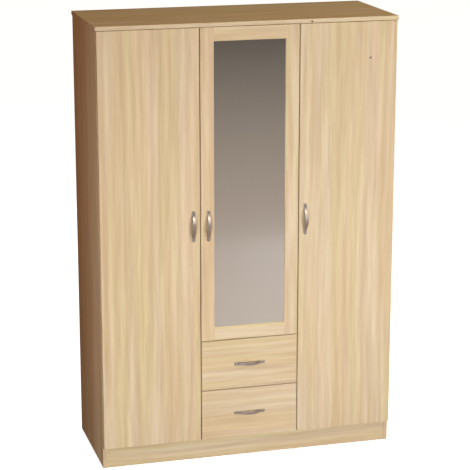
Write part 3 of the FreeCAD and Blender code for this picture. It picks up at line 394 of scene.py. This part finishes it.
def set_heads(name, head, places, facing, body, material):
    """One piece of copies of a head at these places, all facing one way, riding this body."""
    copies = []
    for place in places:
        copy = head.copy()
        copy.data = head.data.copy()
        bpy.context.collection.objects.link(copy)
        copy.rotation_euler = Vector(facing).to_track_quat("Z", "Y").to_euler()
        copy.location = place
        copies.append(copy)
    only(copies[0])
    for copy in copies:
        copy.select_set(True)
    bpy.ops.object.join()
    piece = bpy.context.object
    piece.name = name
    bpy.ops.object.transform_apply(location=True, rotation=True, scale=True)
    piece.data.materials.clear()
    piece.data.materials.append(material)
    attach(piece, body)


def handle_screws(head, body, panel, material):
    """Two screws through the front, in line with the handle."""
    low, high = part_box(body + "_handle")
    upright = high.z - low.z > high.x - low.x
    step = Vector((0, 0, HANDLE_CENTRES / 2)) if upright else Vector((HANDLE_CENTRES / 2, 0, 0))
    middle = Vector(((low.x + high.x) / 2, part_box(panel)[1].y, (low.z + high.z) / 2))
    set_heads(body + "_handle_screws", head, [middle - step, middle + step], (0, 1, 0), body, material)


def hinge_screws(head, arm_screws, body, panel, inward, board_face, heights, material):
    """Two screws in each cup, and the place of the one that holds each arm."""
    low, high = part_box(panel)
    edge = low.x if inward > 0 else high.x
    flange_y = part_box(body + "_hinge_cups")[1].y
    places = [(edge + inward * CUP_SCREW_IN, flange_y, z + side * CUP_SCREW_SPACING / 2)
              for z in heights for side in (-1, 1)]
    set_heads(body + "_cup_screws", head, places, (0, 1, 0), body, material)
    arm_screws[inward] += [(board_face + inward * ARM_TOP, high.y + ARM_SCREW_BACK, z) for z in heights]


def runner_screws(head, drawer, material):
    """Screws up through the foot of each runner into the drawer's sides."""
    low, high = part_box(drawer + "_runners")
    places = []
    for side in ("_left_side", "_right_side"):
        side_low, side_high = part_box(drawer + side)
        x = (side_low.x + side_high.x) / 2
        places += [(x, low.y + (high.y - low.y) * part, low.z) for part in RUNNER_SCREW_PARTS]
    set_heads(drawer + "_runner_screws", head, places, (0, 0, -1), drawer, material)


def nail_places(panel):
    """Places along the four edges of a back panel, on its rear face."""
    low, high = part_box(panel)
    x0, x1, z0, z1 = low.x + NAIL_IN, high.x - NAIL_IN, low.z + NAIL_IN, high.z - NAIL_IN
    across = max(1, round((x1 - x0) / NAIL_SPACING))
    up = max(1, round((z1 - z0) / NAIL_SPACING))
    rows = [(x0 + (x1 - x0) * i / across, high.y, z) for i in range(across + 1) for z in (z0, z1)]
    columns = [(x, high.y, z0 + (z1 - z0) * i / up) for i in range(1, up) for x in (x0, x1)]
    return rows + columns


def make_fixings(steel):
    """Every screw and nail, copied from one model of each."""
    screw = round_head("screw_model", SCREW_RADIUS, SCREW_RISE, 32, SCREW_ROUNDING, 3)
    cross_recess(screw)
    for body, panel in (("left_door", "left_door_panel"), ("right_door", "right_door_panel"),
                        ("mirror_door", "mirror_door_left_stile"),
                        ("upper_drawer", "upper_drawer_front"), ("lower_drawer", "lower_drawer_front")):
        handle_screws(screw, body, panel, steel)
    for drawer in ("upper_drawer", "lower_drawer"):
        runner_screws(screw, drawer, steel)
    arm_screws = {1: [], -1: []}
    left_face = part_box("left_side_panel")[1].x
    hinge_screws(screw, arm_screws, "left_door", "left_door_panel", 1, left_face, TALL_HINGES, steel)
    hinge_screws(screw, arm_screws, "mirror_door", "mirror_door_right_stile", -1,
                 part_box("tall_partition")[0].x, MIRROR_HINGES, steel)
    hinge_screws(screw, arm_screws, "right_door", "right_door_panel", -1,
                 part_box("right_side_panel")[0].x, TALL_HINGES, steel)
    for inward, name in ((1, "left_arm_screws"), (-1, "right_arm_screws")):
        set_heads(name, screw, arm_screws[inward], (inward, 0, 0), "carcass", steel)
    nail = round_head("nail_model", NAIL_RADIUS, NAIL_RISE, 12, NAIL_ROUNDING, 1)
    for side in ("left", "right"):
        places = nail_places("back_panel_" + side)
        set_heads("back_nails_" + side, nail, places, (0, 1, 0), "carcass", steel)
    bpy.data.objects.remove(screw)
    bpy.data.objects.remove(nail)


# ---------------------------------------------------------------- studio
FLOOR_SIZE = 400.0
SWEEP_START = -0.3                # the sweep lies flat from here to where it turns up
SWEEP_TURN = -3.4
SWEEP_LIFT = 2 * MM               # above the floor
SWEEP_RADIUS = 1.6
SWEEP_STEPS = 24
SWEEP_HEIGHT = 4.0
SWEEP_WIDTH = 12.0
SWEEP_DARK = 1.0                  # the painted shade on the paper is at its darkest from this height up
CARD_X = -1.0
CARD_START = -0.55
CARD_END = 2.2
CARD_HEIGHT = 3.0
WORLD_COLOUR = (1.0, 0.70, 0.42, 1)
WORLD_STRENGTH = 0.13
# Name, place, aim, width and height, watts, colour, spread in degrees, and whether matt surfaces see it.
LIGHTS = (
    ("high_key", (1.5, -2.6, 5.2), (0.1, 0, 1.0), (0.9, 0.9), 102, (1.0, 0.88, 0.69), 180, True),
    ("left_softbox", (-3.0, -4.4, 0.9), (-0.1, 0, 0.62), (2.0, 1.6), 16.5, (0.90, 0.94, 1.0), 60, True),
    ("right_softbox", (2.4, -5.0, 0.9), (0.3, 0, 0.62), (2.0, 1.6), 21, (0.90, 0.94, 1.0), 60, True),
    ("strip_light", (1.25, -4.6, 3.2), (0, -0.2, 1.2), (1.0, 4.0), 46, (1.0, 0.98, 0.95), 180, False),
    ("back_light", (0.6, 4.6, 0.9), (0, 0.3, 0.9), (2.0, 1.6), 26, (1.0, 0.98, 0.95), 60, True),
)


def flat_material(name, colour, rough, glow=0.0):
    """A plain matt studio surface."""
    material, tree = new_material(name)
    finish_material(tree, {"Base Color": linear(colour), "Roughness": rough,
                           "Emission Color": linear(colour), "Emission Strength": glow})
    return material


def area_light(name, place, aim, size, power, colour, spread, diffuse):
    bpy.ops.object.light_add(type="AREA", location=place)
    light = bpy.context.object
    light.name = name
    light.rotation_euler = (Vector(aim) - Vector(place)).to_track_quat("-Z", "Y").to_euler()
    light.data.shape = "RECTANGLE"
    light.data.size, light.data.size_y = size
    light.data.energy = power
    light.data.color = colour
    light.data.spread = math.radians(spread)
    light.visible_diffuse = diffuse


def make_floor():
    bpy.ops.mesh.primitive_plane_add(size=FLOOR_SIZE)
    floor = bpy.context.object
    floor.name = "studio_floor"
    floor.data.materials.append(flat_material("white_paper_floor", "F6F6F6", 0.9, 1.0))
    floor.visible_diffuse = False
    floor.visible_glossy = False


def sweep_paper():
    """Matt paper, light on the floor and darker up the wall as painted shade; it also glows faintly as
    painted light.
    """
    material, tree = new_material("grey_paper_sweep")
    place = add(tree, "ShaderNodeTexCoord").outputs["Object"]
    height = add(tree, "ShaderNodeSeparateXYZ", {"Vector": place}).outputs["Z"]
    up = add(tree, "ShaderNodeMapRange", {"Value": height, "From Min": 0.0, "From Max": SWEEP_DARK})
    # Painted shade: the paper's colour darkens from the floor up the wall.
    colour = mix(tree, up.outputs["Result"], linear("D5CAC9"), linear("7D7775"))
    # The emission is painted light: the paper glows faintly, so reflections show it brighter.
    finish_material(tree, {"Base Color": colour, "Roughness": 0.9,
                           "Emission Color": colour, "Emission Strength": 0.17})
    return material


def make_sweep():
    """A grey paper sweep in front of the wardrobe that only reflections see."""
    bpy.ops.mesh.primitive_plane_add(size=1)
    sweep = bpy.context.object
    sweep.name = "studio_sweep"
    profile = [(SWEEP_START, SWEEP_LIFT), (SWEEP_TURN, SWEEP_LIFT)]
    for i in range(1, SWEEP_STEPS + 1):
        angle = math.pi / 2 * i / SWEEP_STEPS
        profile.append((SWEEP_TURN - SWEEP_RADIUS * math.sin(angle),
                        SWEEP_LIFT + SWEEP_RADIUS * (1 - math.cos(angle))))
    profile.append((SWEEP_TURN - SWEEP_RADIUS, SWEEP_HEIGHT))
    shell = bmesh.new()
    rows = [[shell.verts.new((x, y, z)) for x in (-SWEEP_WIDTH / 2, SWEEP_WIDTH / 2)] for y, z in profile]
    for a, b in zip(rows, rows[1:]):
        shell.faces.new((a[0], a[1], b[1], b[0])).smooth = True
    shell.to_mesh(sweep.data)
    shell.free()
    sweep.data.materials.append(sweep_paper())
    sweep.visible_camera = False
    sweep.visible_shadow = False
    sweep.visible_diffuse = False


def make_card():
    """A brown card to the left. It shades the back of the left side, and it glows faintly, a painted light
    that falls warm on that side.
    """
    bpy.ops.mesh.primitive_plane_add(size=1)
    card = bpy.context.object
    card.name = "studio_card"
    card.dimensions = (CARD_END - CARD_START, CARD_HEIGHT, 0)
    card.rotation_euler = (math.pi / 2, 0, math.pi / 2)
    card.location = (CARD_X, (CARD_START + CARD_END) / 2, CARD_HEIGHT / 2)
    # The card's emission of 0.10 is painted light: it glows though it is no lamp.
    card.data.materials.append(flat_material("brown_card", "8A5A2E", 0.95, 0.10))
    card.visible_camera = False


def make_lights():
    world = bpy.data.worlds.new("studio")
    bpy.context.scene.world = world
    world.use_nodes = True
    world.node_tree.nodes.clear()
    tree = world.node_tree
    glow = add(tree, "ShaderNodeBackground", {"Color": WORLD_COLOUR, "Strength": WORLD_STRENGTH})
    add(tree, "ShaderNodeOutputWorld", {"Surface": glow.outputs["Background"]})
    for light in LIGHTS:
        area_light(*light)


# ---------------------------------------------------------------- build
make_camera()
dress_boards()
finishes = dress_rest()
make_fixings(finishes["plated_steel"])
make_floor()
make_sweep()
make_card()
make_lights()
bpy.context.scene.view_settings.view_transform = "Standard"
